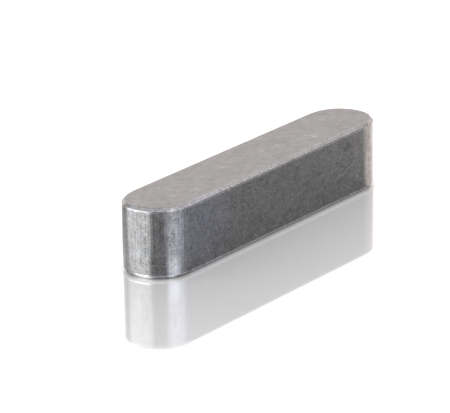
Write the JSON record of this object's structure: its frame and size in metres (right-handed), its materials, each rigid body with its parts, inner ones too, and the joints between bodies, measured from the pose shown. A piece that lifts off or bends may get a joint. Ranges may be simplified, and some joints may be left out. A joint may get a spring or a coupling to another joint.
{
  "type": "parallel key",
  "caption": "Square-section steel parallel key with fully rounded ends and broken edges, which locks a hub to a shaft.",
  "frame": {"origin": "middle of the flat face that lies on the keyway's floor", "axes": "+X along the key, +Y across it out of one working side, +Z from the keyway's floor towards the hub"},
  "size_m": [0.032, 0.006, 0.006],
  "materials": {
    "bright_steel": "bright-drawn and tumbled carbon steel: satin grey, with cutter marks down the rounded ends"
  },
  "bodies": {
    "root": {"parallel_key": "bright_steel"}
  },
  "joints": []
}
